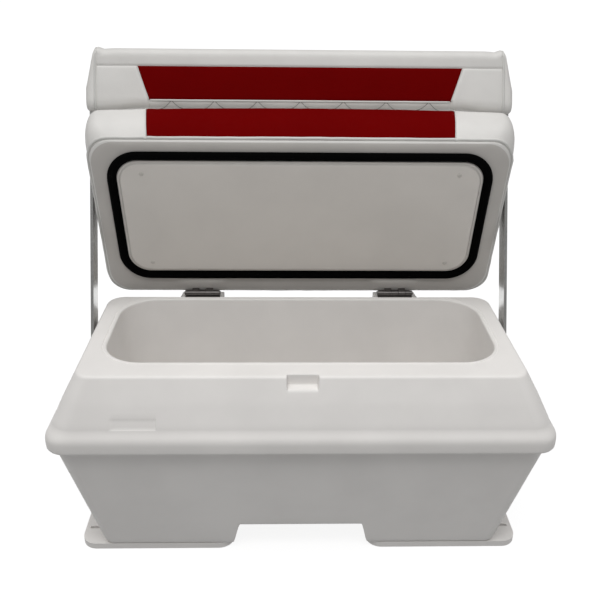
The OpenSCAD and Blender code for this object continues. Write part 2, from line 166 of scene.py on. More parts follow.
SHELL = plastic("shell_plastic", (0.845, 0.822, 0.798), 0.48)
LINER = plastic("liner_plastic", (0.76, 0.725, 0.68), 0.5, 0.00016, 380)
NYLON = plastic("nylon", (0.8, 0.8, 0.77), 0.42, 0.00005, 700)
WHITE = vinyl("white_vinyl", (0.77, 0.755, 0.73), 0.42)
RED = vinyl("red_vinyl", (0.15, 0.0004, 0.0006), 0.7, 0.015)
WELT = vinyl("white_welt", (0.7, 0.695, 0.67), 0.4)
THREAD = vinyl("thread", (0.3, 0.295, 0.285), 0.7)
# The seat's underside margin: the white vinyl made darker, to paint the shade that the underside lies
# in.
SKIRT_PAINTED_SHADE = vinyl("lid_skirt_vinyl_painted_shade", (0.6, 0.575, 0.545), 0.5, 0.3)
RUBBER = plastic("black_rubber", (0.0015, 0.0015, 0.0015), 0.8, 0.00015, 600, 0.02)
SCREW_CAP = plastic("screw_cap", (0.62, 0.59, 0.55), 0.5, 0.00005, 700)
STEEL = metal("stainless", (0.58, 0.58, 0.57), 0.3, (1, 8, 8))
HINGE = metal("hinge_steel", (0.17, 0.16, 0.155), 0.4, (1, 8, 8))
POLISHED = metal("polished_bar", (0.66, 0.66, 0.65), 0.2, (8, 8, 0.6))


# ---------------------------------------------------------------- mesh helpers

def make(name, verts, faces, body, mats, replaces=(), face_mats=None, to_world=None, smooth=True):
    """verts in millimetres, in the frame that to_world leaves (the row frame if it is None)."""
    verts = np.asarray(verts, float)
    if to_world is not None:
        verts = to_world(verts)
    mesh = bpy.data.meshes.new(name)
    mesh.from_pydata((verts * MM).tolist(), [], [list(map(int, f)) for f in faces])
    for m in mats:
        mesh.materials.append(m)
    if face_mats is not None:
        mesh.polygons.foreach_set("material_index", np.asarray(face_mats, np.int32))
    bm = bmesh.new()
    bm.from_mesh(mesh)
    bmesh.ops.recalc_face_normals(bm, faces=bm.faces)
    bm.to_mesh(mesh)
    bm.free()
    mesh.polygons.foreach_set("use_smooth", [smooth] * len(mesh.polygons))
    ob = bpy.data.objects.new(name, mesh)
    bpy.context.scene.collection.objects.link(ob)
    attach(ob, body)
    if replaces:
        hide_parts(*replaces)
    return ob


def flat_faced(ob):
    """Large faces keep their own normals, so that narrow roundings don't shade them."""
    mod = ob.modifiers.new("normals", "WEIGHTED_NORMAL")
    mod.weight = 100
    mod.keep_sharp = True
    return ob


def strip_faces(rows, cols, closed=True, offset=0):
    out = []
    for k in range(rows - 1):
        for i in range(cols if closed else cols - 1):
            j = (i + 1) % cols
            out.append((offset + k * cols + i, offset + k * cols + j,
                        offset + (k + 1) * cols + j, offset + (k + 1) * cols + i))
    return out


def loop_faces(rows, cols):
    """The strip that joins the last row back to the first."""
    last = (rows - 1) * cols
    return [(last + i, last + (i + 1) % cols, (i + 1) % cols, i) for i in range(cols)]


def in_lid(p):
    """From the closed lid's place to the open one."""
    d = p - lid_axis
    c, s = math.cos(-lid_open), math.sin(-lid_open)
    return np.stack([p[:, 0], lid_axis[1] + d[:, 1] * c - d[:, 2] * s,
                     lid_axis[2] + d[:, 1] * s + d[:, 2] * c], 1)


def on_arm(p):
    """From (x, n, s) to the row frame: n is across the backrest, s up along the arms."""
    c, s = math.cos(arm_lean), math.sin(arm_lean)
    return np.stack([p[:, 0], pivot[1] + p[:, 2] * s + p[:, 1] * c,
                     pivot[2] + p[:, 2] * c - p[:, 1] * s], 1)


def softened(node, mat, width=0.5, segments=2, angle=32):
    """A copy of a CAD node with rounded edges, shown in the node's place."""
    source = frame["nodes"][node]
    bm = bmesh.new()
    bm.from_mesh(source.data)
    bmesh.ops.remove_doubles(bm, verts=bm.verts, dist=2e-5)
    bmesh.ops.dissolve_limit(bm, angle_limit=math.radians(0.4), verts=bm.verts, edges=bm.edges)
    bmesh.ops.recalc_face_normals(bm, faces=bm.faces)
    mesh = bpy.data.meshes.new(node + ".soft")
    bm.to_mesh(mesh)
    bm.free()
    for extra in [a.name for a in mesh.attributes if a.name == "custom_normal"]:
        mesh.attributes.remove(mesh.attributes[extra])
    mesh.materials.clear()
    mesh.materials.append(mat)
    mesh.polygons.foreach_set("use_smooth", [True] * len(mesh.polygons))
    mesh.polygons.foreach_set("material_index", [0] * len(mesh.polygons))
    ob = bpy.data.objects.new(node + ".soft", mesh)
    bpy.context.scene.collection.objects.link(ob)
    bevel = ob.modifiers.new("round", "BEVEL")
    bevel.width = width * MM
    bevel.segments = segments
    bevel.limit_method = "ANGLE"
    bevel.angle_limit = math.radians(angle)
    bevel.use_clamp_overlap = True
    flat_faced(ob)
    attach(ob, source["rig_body"])
    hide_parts(node)
    return ob


def tube(name, path, radius, body, mat, to_world, closed=False, sides=8, flat=1.0):
    """A round cord along a path of points, with closed ends."""
    path = np.asarray(path, float)
    n = len(path)
    if closed:
        tangent = np.roll(path, -1, 0) - np.roll(path, 1, 0)
    else:
        tangent = np.gradient(path, axis=0)
    tangent /= np.linalg.norm(tangent, axis=1)[:, None]
    up = np.array([0.0, 0.0, 1.0])
    if abs(tangent[:, 2]).max() > 0.8:
        up = np.array([0.0, 1.0, 0.0]) if abs(tangent[:, 1]).max() < 0.8 else np.array([1.0, 0, 0])
    side = np.cross(tangent, up)
    side /= np.linalg.norm(side, axis=1)[:, None]
    lift = np.cross(side, tangent)
    a = np.linspace(0, 2 * math.pi, sides, endpoint=False)
    ring = radius * (side[:, None, :] * np.cos(a)[None, :, None] * flat
                     + lift[:, None, :] * np.sin(a)[None, :, None])
    verts = (path[:, None, :] + ring).reshape(-1, 3)
    faces = strip_faces(n, sides)
    if closed:
        faces += loop_faces(n, sides)
    else:
        faces += [tuple(range(sides))[::-1], tuple((n - 1) * sides + i for i in range(sides))]
    return make(name, verts, faces, body, [mat], to_world=to_world)


def lathe(name, profile, origin, axis, body, mat, steps=64):
    """profile: (radius, distance along axis) pairs, from the closed middle to the open end."""
    axis = np.array(axis, float)
    u = np.array([0, 0, 1.0]) if abs(axis[2]) < 0.5 else np.array([1.0, 0, 0])
    v = np.cross(axis, u)
    a = np.linspace(0, 2 * math.pi, steps, endpoint=False)
    rings = [np.array(origin) + axis * t + r * (np.cos(a)[:, None] * u + np.sin(a)[:, None] * v)
             for r, t in profile]
    faces = strip_faces(len(rings), steps)
    faces += [tuple(range(steps)), tuple((len(rings) - 1) * steps + i for i in range(steps))]
    return flat_faced(make(name, np.concatenate(rings), faces, body, [mat]))


# ---------------------------------------------------------------- rings with aligned columns

CORNER_STEPS = 14


def ring(xs, ys, hx, front, back, r, z):
    """A rounded rectangle. xs are the columns of its long sides, in millimetres
    within +-(hx - r); ys are those of its short sides, in millimetres from its own middle."""
    hy, yc = (front + back) / 2, (back - front) / 2
    a, b = hx - r, hy - r
    pts = [(x, yc - hy) for x in xs]
    for (cx, cy, start) in ((a, yc - b, -90), (a, yc + b, 0), (-a, yc + b, 90), (-a, yc - b, 180)):
        side = {-90: [(hx, yc + y) for y in ys], 0: [(x, yc + hy) for x in xs[::-1]],
                90: [(-hx, yc - y) for y in ys], 180: []}[start]
        for i in range(1, CORNER_STEPS):
            t = math.radians(start + 90 * i / CORNER_STEPS)
            pts.append((cx + r * math.cos(t), cy + r * math.sin(t)))
        pts += side
    return np.array([(x, y, z) for x, y in pts], float)


def tags(nx, ny):
    """For each column: 0 front, 1 right, 2 back, 3 left, -1 corner."""
    c = [-1] * (CORNER_STEPS - 1)
    return np.array([0] * nx + c + [1] * ny + c + [2] * nx + c + [3] * ny + c)


def smooth_step(t):
    t = np.clip(t, 0, 1)
    return t * t * (3 - 2 * t)


def cap_faces(nx, ny, base):
    """Closes a ring: strips between its front and back columns, and one face at each end."""
    corner = CORNER_STEPS - 1
    back0 = nx + corner + ny + corner
    total = 2 * nx + 2 * ny + 4 * corner
    faces = [(base + i, base + i + 1, base + back0 + nx - 2 - i, base + back0 + nx - 1 - i)
             for i in range(nx - 1)]
    right = list(range(nx - 1, back0 + 1))
    left = list(range(back0 + nx - 1, total)) + [0]
    return faces + [tuple(base + i for i in right), tuple(base + i for i in left)]


# ---------------------------------------------------------------- tub

# Half sizes of the deck and its height, and how far the rim stands out past the deck
deck_x, deck_y, deck_z = 405, 166, 405
rim_out_x, rim_out_y = 53, 55
# The body at the foot plates and under the rim: half width, half depth, corner radius
body_low, body_high = (388, 154, 18), (449, 205, 34)
plate_t, body_top_z = 13, 277
# The opening in the deck: half sizes, how far it is set back, corner radius
open_x, open_y, open_back, open_r = 368, 132, 20, 74
cavity_shrink, cavity_floor, floor_r = 24, 100, 22
# The channel between the feet: its height above the plates, half its width above and below
channel_rise, channel_in, channel_out = 55, 119, 133
notch_half = 27.5
pad_x, pad_half = 211, 46.5
pocket_x, pocket_half = 421, 26
label_x, label_half = 297, 40
label_rows = (322.6, 324.1, 339.6, 341.1)
label_depth = 1.3
bevel_share, bevel_rise = 0.74, 80
edge_r = 7
fixed_x = 340            # columns nearer the middle than this keep their X in every ring


def tub_xs():
    marks = [0, 8, 17, 22, 25.5, 26.6, 27.5, 28.4, 29.5, 34, 42, 56, 70, 84, 98, 108, 114, 117,
             118.5, 120, 122, 124.5, 127, 129.5, 131.5, 133, 134.5, 140, 150, 158, 162, 163.4, 164.5,
             165.6, 167, 172, 186, 200, 211, 224, 238, 249.8, 250, 251, 252.2, 255, 256.4, 257.5,
             258.6, 260, 268, 282, 294, 306, 318, 325, 327.8, 329, 330.2, 335, fixed_x]
    marks = sorted(set(marks))
    return np.array([-m for m in marks[::-1]] + marks[1:], float)


TUB_XS = tub_xs()


def long_side(a):
    """Column places on a straight front or back side that ends at +-a."""
    if a >= fixed_x + 6:
        ends = fixed_x + (a - fixed_x) * np.array([0.34, 0.67, 1.0])
        return np.concatenate([-ends[::-1], TUB_XS, ends])
    ends = fixed_x + 35 * np.array([0.34, 0.67, 1.0])
    return np.concatenate([-ends[::-1], TUB_XS, ends]) * a / (fixed_x + 35)


def pocket_edge(z):
    """Half the width, front to back, of an arm's pocket at height z."""
    return pocket_half / math.cos(arm_lean) + max(z - pivot[2], 0) * math.tan(arm_lean)


def short_side(b, z):
    e = min(pocket_edge(z), b - 5)
    inner = [-0.999, -0.85, -0.65, -0.4, -0.15, 0.15, 0.4, 0.65, 0.85, 0.999]
    ys = [-b, -(b + e + 1.4) / 2, -e - 1.4, -e - 0.2] + [t * (e - 1.4) for t in inner]
    return np.array(ys + [e + 0.2, e + 1.4, (b + e + 1.4) / 2, b])


def body_size(s):
    """Half width, half depth and corner radius of the body, s from 0 at the plates to 1."""
    return [lo + s * (hi - lo) for lo, hi in zip(body_low, body_high)]


def tub_ring(hx, front, back, r, z):
    return ring(long_side(hx - r), short_side((front + back) / 2 - r, z), hx, front, back, r, z)


def upper(o, z, back_share=1.0):
    """A ring of the rim, bevel or deck edge that stands out by o of the rim's overhang."""
    back = deck_y + rim_out_y * (o if o > 0 else o * back_share)
    return tub_ring(deck_x + rim_out_x * o, deck_y + rim_out_y * o, back, 30 + 8 * o, z)


def bevel_o(z):
    """How far the bevel stands out at height z, as a share of the rim's whole overhang."""
    return float(np.interp(z, [318, 321, 324, 327, 363, 401.5],
                           [0.8, 0.772, 0.75, 0.73, 0.4, 0.0023]))


def opening(grow, z):
    return tub_ring(open_x + grow, open_y - open_back + grow, open_y + open_back + grow,
                    open_r + grow, z)


def build_tub():
    rows, names = [], []

    def add(points, name):
        rows.append(points)
        names.append(name)

    body_s = [(0, 5), (0.006, 2), (0.018, 0.4), (0.05, 0), (0.13, 0), (0.22, 0), (0.32, 0), (0.42, 0),
              (0.52, 0), (0.62, 0), (0.72, 0), (0.82, 0), (0.91, 0), (0.97, 0), (1, 0)]
    for s, inset in body_s:
        hx, hy, r = body_size(s)
        add(tub_ring(hx - inset, hy - inset, hy - inset, r, plate_t + s * (body_top_z - plate_t)),
            ("body", s, inset))
    for o, z in ((0.89, 277.6), (0.95, 278), (0.978, 278.9), (0.995, 280.8), (1.0, 284), (1.0, 289),
                 (0.999, 294), (0.994, 298.5), (0.983, 302), (0.962, 305.2), (0.93, 308.4),
                 (0.89, 311.4), (0.845, 314.6), (0.805, 317.8)):
        add(upper(o, z), "rim")
    bevel_z = [321, *label_rows[:2], 328, 334, *label_rows[2:], 350, 356, 361.5, 367, 374, 380,
               384, 388, 392, 396, 399, 400]
    for z in bevel_z:
        add(upper(bevel_o(z), z), ("bevel", z))
    for k, a in enumerate((30, 42, 54, 66, 78, 90)):
        c, s = math.cos(math.radians(a)), math.sin(math.radians(a))
        add(upper((edge_r * c - edge_r) / rim_out_x + 0.02, deck_z - edge_r * (1 - s), 0.5),
            ("edge", k))
    for k, (inset, back_inset) in enumerate(((8.2, 3.7), (9, 3.9), (10.5, 4.1))):
        add(tub_ring(deck_x - inset, deck_y - inset, deck_y - back_inset, 30 - inset / 2, deck_z),
            ("deck", k))
    for grow, z in ((9.4, 0), (8.9, -0.5), (8.5, -1.5), (6.5, -1.5), (6.1, -0.5), (5.6, 0), (4, 0),
                    (2.6, -0.25), (1.3, -1), (0.45, -2.2), (0, -4)):
        add(opening(grow, deck_z + z), "mouth")
    wall_low = cavity_floor + floor_r
    for s in (0.96, 0.85, 0.7, 0.5, 0.3, 0.12, 0):
        add(opening(-cavity_shrink * (1 - s), wall_low + s * (deck_z - 4 - wall_low)), "wall")
    for a in (75, 60, 45, 30, 15, 0):
        c, s = math.cos(math.radians(a)), math.sin(math.radians(a))
        add(opening(-cavity_shrink - floor_r * (1 - s), cavity_floor + floor_r * (1 - c)), "floor")

    grid = np.array(rows)
    nx, ny = len(long_side(375)), len(short_side(150, 300))
    side = tags(nx, ny)
    bevel_first = names.index(("bevel", 384))
    deck_first = names.index(("deck", 0))

    # the channel between the feet
    for k, name in enumerate(names):
        if name[0] != "body":
            continue
        _, s, inset = name
        for i in np.where((side == 0) | (side == 2))[0]:
            x = abs(grid[k, i, 0])
            t = np.clip((channel_out - x) / (channel_out - channel_in), 0, 1)
            rise = channel_rise * (0.6 * t + 0.4 * smooth_step(t)) / (body_top_z - plate_t)
            if rise > 0:
                at = rise + s * (1 - rise)
                grid[k, i, 2] = plate_t + at * (body_top_z - plate_t)
                half = body_size(at)[1] - inset
                grid[k, i, 1] = -half if side[i] == 0 else half

    # the finger notch in the middle of the front edge
    notch = [(-175.7, 383.7), (-174, 384), (-170, 384), (-165, 384), (-162.5, 384), (-160.5, 384),
             (-158.6, 384.4), (-157.7, 385.3), (-157.1, 387), (-157, 391), (-157, 396), (-157, 401),
             (-156.9, 403.6), (-156.4, 404.7), (-155.5, 405)]
    for i in np.where(side == 0)[0]:
        w = smooth_step((notch_half + 1 - abs(grid[0, i, 0])) / 2)
        if w > 0:
            for n, (y, z) in enumerate(notch):
                k = bevel_first + n
                grid[k, i, 1] += w * (y - grid[k, i, 1])
                grid[k, i, 2] += w * (z - grid[k, i, 2])

    # the pads under the hinges
    pad = [(208.5, 321), (207.9, 322.6), (207.2, 324.1), (207.2, 328), (210.2, 333.8), (213.2, 339.7),
           (214, 341.3), (218.3, 350.3), (221, 356), (223.2, 361.7), (224, 367.5), (224, 375),
           (224, 382), (224, 386.5), (223.3, 389.2), (221.5, 390), (216, 390), (208, 390),
           (203, 390), (196, 390), (188, 390), (180, 390), (171, 390), (165.4, 390.3), (164.2, 391.5),
           (163.9, 397), (163.5, 403.6), (162, 405)]
    pad_first = names.index(("bevel", 321))
    for i in np.where(side == 2)[0]:
        off = abs(abs(grid[0, i, 0]) - pad_x)
        w = smooth_step((pad_half + 1 - off) / 2)
        if w > 0:
            for n, (y, z) in enumerate(pad):
                k = pad_first + n
                grid[k, i, 1] += w * (y - grid[k, i, 1])
                grid[k, i, 2] += w * (z - grid[k, i, 2])

    # the blank label recess
    tilt = math.atan2(rim_out_y * bevel_share, bevel_rise)
    for k, name in enumerate(names):
        if name[0] == "bevel" and label_rows[0] < name[1] < label_rows[3]:
            for i in np.where(side == 0)[0]:
                w = smooth_step((label_half + 1.2 - abs(grid[k, i, 0] + label_x)) / 2.4)
                grid[k, i, 1] += label_depth * w * math.cos(tilt)
                grid[k, i, 2] -= label_depth * w * math.sin(tilt)

    # the pockets that the arms swing in
    for k in range(deck_first):
        z = grid[k, :, 2]
        for i in np.where((side == 1) | (side == 3))[0]:
            x, y = grid[k, i, :2]
            if abs(y) < pocket_edge(z[i]) + 0.6 and abs(x) > pocket_x:
                grid[k, i, 0] = math.copysign(pocket_x, x)

    rows_n, cols = grid.shape[:2]
    faces = strip_faces(rows_n, cols)
    faces += [f[::-1] for f in cap_faces(nx, ny, 0)] + cap_faces(nx, ny, (rows_n - 1) * cols)
    return flat_faced(make("tub_moulding", grid.reshape(-1, 3), faces, "tub", [SHELL],
                           ("tub_shell", "foam_core")))


build_tub()
for side_name, sx in (("left", -1), ("right", 1)):
    lathe(side_name + "_pivot_boss", [(34.5, 0), (34.2, 16), (33.6, 18.4), (32.2, 20.2), (30, 21),
                                      (9, 21), (8.2, 20)], (sx * 400, 0, pivot[2]), (sx, 0, 0),
          "tub", SHELL)
lathe("drain_boss", [(27, 0), (27, 26), (26.4, 28), (25, 29), (15, 29)], (300, 154, 121), (0, 1, 0),
      "tub", SHELL)

# ---------------------------------------------------------------- CAD pieces with rounded edges

for node_name, mat, width in (
        ("left_foot_plate", SHELL, 2.5), ("right_foot_plate", SHELL, 2.5),
        ("foot_plate_screws", STEEL, 0.4), ("left_hinge_tub_leaf", HINGE, 0.4),
        ("right_hinge_tub_leaf", HINGE, 0.4), ("left_hinge_lid_leaf", HINGE, 0.4),
        ("right_hinge_lid_leaf", HINGE, 0.4), ("left_hinge_pin", HINGE, 0.5),
        ("right_hinge_pin", HINGE, 0.5), ("hinge_tub_screws", HINGE, 0.3),
        ("hinge_lid_screws", HINGE, 0.3), ("liner_screws", SCREW_CAP, 0.3),
        ("left_pivot_bushing", NYLON, 0.6), ("right_pivot_bushing", NYLON, 0.6),
        ("left_pivot_bolt", STEEL, 0.6), ("right_pivot_bolt", STEEL, 0.6),
        ("arm_stops", RUBBER, 1.6), ("drain_fitting", NYLON, 0.9), ("drain_washer", RUBBER, 0.5),
        ("drain_plug", NYLON, 1.0), ("drain_plug_seal", RUBBER, 0.4),
        ("left_arm", POLISHED, 1.1), ("right_arm", POLISHED, 1.1), ("arm_bolts", STEEL, 0.5)):
    softened(node_name, mat, width, 3 if width > 1 else 2)

# ---------------------------------------------------------------- lid: gasket, liner

lid_plane = 415.4
gasket_x, gasket_half_y, gasket_y, gasket_r = 372, 143, 13.5, 54


def even(a, n):
    return np.linspace(-a, a, n)


def lid_ring(hx, hy, r, z, yc=gasket_y, nx=61, ny=21):
    return ring(even(hx - r, nx), even(hy - r, ny), hx, hy - yc, hy + yc, r, z)


def build_gasket():
    """A rubber bulb with a flat lip on its inner side."""
    section = [(9, 0), (9.2, -2.5), (8.6, -5.4), (6.6, -8), (3.6, -9.6), (0.4, -10), (-2.6, -9.2),
               (-4.6, -7.2), (-5.6, -4.6), (-6.6, -3.4), (-8.6, -2.8), (-9.2, -1.6), (-9, 0)]
    rows = [lid_ring(gasket_x + o, gasket_half_y + o, gasket_r + o, lid_plane + h) for o, h in section]
    cols = len(rows[0])
    faces = strip_faces(len(rows), cols) + loop_faces(len(rows), cols)
    make("lid_seal", np.concatenate(rows), faces, "lid", [RUBBER], ("lid_gasket",), to_world=in_lid)


def build_liner():
    """A formed tray: a flat margin, a soft step and a slightly bowed field."""
    hx, hy, r = gasket_x - 9, gasket_half_y - 9, gasket_r - 9
    steps = [(1.2, 0), (1.2, -1.9), (1.8, -2.5), (3.8, -2.5), (4.9, -2.8), (5.9, -3.8), (6.9, -5.5),
             (7.8, -6.5), (9.2, -7), (24, -7.05), (60, -7.2), (100, -7.3)]
    rows = [lid_ring(hx - o, hy - o, max(r - o * 0.6, 12), lid_plane + h) for o, h in steps]
    cols = len(rows[0])
    faces = strip_faces(len(rows), cols)
    faces += cap_faces(61, 21, 0) + cap_faces(61, 21, (len(rows) - 1) * cols)
    flat_faced(make("lid_tray", np.concatenate(rows), faces, "lid", [LINER], ("lid_liner",),
                    to_world=in_lid))


build_gasket()
build_liner()


# ---------------------------------------------------------------- seat cushion

# Heights of the two seams of the closed cushion, and of the edge of its underside
seam_low, seam_high = 420.2, 516
skirt_z = 416.2


def seat_seam_x(z):
    """Half the width of the red panel, with rounded upper corners."""
    x = 296 + 0.12 * (np.clip(z, 418, 520) - 418)
    t = np.clip((z - 504) / 14, 0, 1)
    return x - 14 * (1 - np.sqrt(1 - t * t)) * (z < 521)


SEAT_T = np.array([0, 0.06, 0.12, 0.19, 0.26, 0.33, 0.4, 0.47, 0.54, 0.61, 0.68, 0.75, 0.82, 0.88, 0.93,
                   0.965, 0.985, 0.994, 1.0, 1.006, 1.015, 1.035, 1.07, 1.11])
SEAT_T = np.concatenate([-SEAT_T[:0:-1], SEAT_T])


def build_seat():
    # (z, half width, front, back, corner radius); front and back are measured from y = 0
    prof = [(415.2, 366, 125, 152, 70), (415.1, 379, 137, 165, 72), (414.5, 384, 141, 169, 70),
            (414.2, 391, 146, 178, 64), (414.3, 398, 151, 188, 58), (414.9, 404, 155, 196, 52),
            (416, 408, 158, 200.4, 49), (417.2, 410.4, 160, 202.6, 47), (418.6, 411.4, 161, 203.2, 46),
            (419.9, 409.8, 159.4, 201.8, 45), (421.2, 411.4, 161.4, 203.2, 45),
            (426, 414.4, 165.6, 204.8, 43), (433, 417, 170, 206.2, 40), (441, 418.9, 174.4, 207.2, 36),
            (451, 420.3, 178.6, 208, 32), (463, 421.2, 182.4, 208.6, 29), (477, 421.6, 185.4, 208.8, 26),
            (490, 421.7, 187, 208.2, 24), (501, 421.3, 187, 206.8, 23), (509, 420.2, 185, 204.6, 22),
            (514, 418.6, 182.4, 202, 22), (516, 416.4, 180.4, 200, 22), (517.4, 415.8, 179.8, 199.4, 22),
            (520, 414.6, 177.4, 198, 22), (524, 409.4, 170.6, 193, 22), (528, 399.4, 161, 184.4, 22),
            (531, 383, 147, 171.4, 22), (533, 362, 129, 152.4, 22), (534, 336, 103, 126.4, 22),
            (534.4, 306, 73, 96, 22), (534.6, 280, 47, 70, 22)]
    n_side = 27
    rows = []
    for z, hx, front, back, r in prof:
        a, b = hx - r, (front + back) / 2 - r
        x = seat_seam_x(z)
        xs = SEAT_T * min(x, a / 1.14)
        ends = xs[-1] + (a - xs[-1]) * np.array([0.25, 0.5, 0.75, 1.0])
        xs = np.concatenate([-ends[::-1], xs, ends])
        rows.append(ring(xs, even(b, n_side), hx, front, back, r, z))
    grid = np.array(rows)
    nx = len(SEAT_T) + 8
    side = tags(nx, n_side)
    cols = grid.shape[1]
    zs = np.array([p[0] for p in prof])
    center = np.array([0, 14.0])
    # small gathers where the cover is stretched round the corners, at both seams
    angle = np.arctan2(grid[0, :, 1] - center[1], grid[0, :, 0])
    corner = (side == -1).astype(float)
    for _ in range(6):
        corner = (corner + np.roll(corner, 1) + np.roll(corner, -1)) / 3
    along = np.cumsum(np.linalg.norm(np.diff(grid[16], axis=0, append=grid[16][:1])[:, :2], axis=1))
    rng = np.random.default_rng(7)
    phases = rng.uniform(0, 6.28, 5)
    ripple = sum(np.sin(along / w + p) for w, p in zip((9.3, 13.1, 21.7, 6.1, 33.0), phases)) / 3
    for k, z in enumerate(zs):
        if z < 420.6 or z > 530:
            continue
        pull = math.exp(-abs(z - seam_low) / 9) + 0.8 * math.exp(-abs(z - seam_high) / 7)
        amp = 0.9 * pull * (0.35 + 1.2 * corner) + 0.2
        out = grid[k, :, :2] - center
        out /= np.linalg.norm(out, axis=1)[:, None]
        grid[k, :, :2] += out * (ripple * amp)[:, None]
    # the sewn lines at the red panel's ends
    t_all = np.concatenate([np.full(4, 9.0), SEAT_T, np.full(4, 9.0)])
    front_cols = np.where(side == 0)[0]
    for k, z in enumerate(zs):
        if seam_low < z < seam_high + 2:
            for i in front_cols:
                d = abs(abs(t_all[i]) - 1)
                grid[k, i, 1] += 2.0 * math.exp(-(d / 0.008) ** 2) - 0.8 * math.exp(-(d / 0.05) ** 2)
    # the front crown droops towards its ends, and the cover is thicker over the hinge leaves
    ends = np.abs(grid[:, :, 0] / 410) ** 2.2 * smooth_step((zs[:, None] - 440) / 60)
    ends = ends * smooth_step((60 - grid[:, :, 1]) / 160)
    grid[:, :, 1] += 5 * ends
    grid[:, :, 2] -= 4 * ends
    for i in np.where(side == 2)[0]:
        near = smooth_step((50 - np.abs(np.abs(grid[:, i, 0]) - pad_x)) / 8)
        grid[:, i, 2] -= 4.8 * near * (zs < 416.5) * (grid[:, i, 1] > 166)
    faces = strip_faces(len(prof), cols)
    face_mats = []
    red_rows = [k for k, z in enumerate(zs[:-1])
                if seam_low + 0.9 <= z and zs[k + 1] <= seam_high + 0.2]
    for k in range(len(prof) - 1):
        for i in range(cols):
            is_red = (k in red_rows and side[i] == 0 and side[(i + 1) % cols] == 0
                      and abs(t_all[i]) <= 1.0001 and abs(t_all[i + 1]) <= 1.0001)
            # faces of the underside margin take the darkened white vinyl, which paints their shade
            face_mats.append(1 if is_red else 2 if zs[k + 1] <= skirt_z else 0)
    caps = [f[::-1] for f in cap_faces(nx, n_side, 0)]
    caps += cap_faces(nx, n_side, (len(prof) - 1) * cols)
    faces += caps
    face_mats += [0] * len(caps)
    seat = make("seat_pad", grid.reshape(-1, 3), faces, "lid", [WHITE, RED, SKIRT_PAINTED_SHADE],
                ("seat_cushion", "lid_board"), face_mats, in_lid)

    def row_at(z):
        k = np.searchsorted(zs, z)
        f = (z - zs[k - 1]) / (zs[k] - zs[k - 1])
        return grid[k - 1] * (1 - f) + grid[k] * f

    low = row_at(422.6)
    out = low[:, :2] - center
    out /= np.linalg.norm(out, axis=1)[:, None]
    low[:, :2] += out * 1.6
    tube("seat_piping", low, 2.9, "lid", WELT, in_lid, closed=True, sides=10)
    for name, sx in (("left", -1), ("right", 1)):
        line = []
        for z in np.linspace(424.5, 514, 28):
            row = row_at(z)
            fx = row[front_cols]
            want = sx * seat_seam_x(z)
            y = np.interp(want, fx[:, 0], fx[:, 1])
            line.append((want, y - 0.9, z))
        tube("seat_panel_welt_" + name, line, 1.25, "lid", WELT, in_lid)
    return seat


build_seat()


# ---------------------------------------------------------------- backrest cushion

back_low, back_high, back_n = 686, 807, 39
seam_top_s, seam_red_s = 768, 699
piping_x = 413
end_hang, hang_reach = 7, 34      # the ends' bottom hangs lower by this, over this height
quilt_x, quilt_arc = 87, 92      # pitch of the quilted lines, across and round the bottom


def back_seam_x(s):
    return 306 + 0.348 * (np.clip(s, seam_red_s, seam_top_s) - seam_red_s)


def back_section():
    """The outline across the cushion, one side: (n, s) from the middle of the bottom to the
    middle of the top, along the front (n below 0)."""
    pts = [(0, back_low), (-5, back_low), (-10, back_low), (-15, back_low), (-19, back_low + 0.1)]
    r = 18
    cx, cs = -back_n + r, back_low + r
    for a in (-80, -66, -52, -40, -30, -22, -15, -8):
        t = math.radians(a)
        pts.append((cx - r * math.cos(t) * 1.0, cs + r * math.sin(t)))
    face = [706, 709, 713, 718, 724, 731, 738, 745, 751, 756, 760, 763, 765.4, 766.8, 768, 769.2, 770.6,
            773, 777, 781, 785]
    pts += [(-back_n, s) for s in face]
    r = 20
    cx, cs = -back_n + r, back_high - r
    for a in (8, 18, 30, 42, 54, 66, 78, 88):
        t = math.radians(a)
        pts.append((cx - r * math.cos(t), cs + r * math.sin(t)))
    pts += [(-8, back_high), (0, back_high)]
    return pts


def outward(n, s):
    """The direction out of the cushion at a point of its outline, and the distance it is over."""
    d = np.array([n, s]) - np.array([0.0, np.clip(s, back_low + 30, back_high - 30)])
    size = np.linalg.norm(d)
    return (d / size if size > 1e-6 else d), size


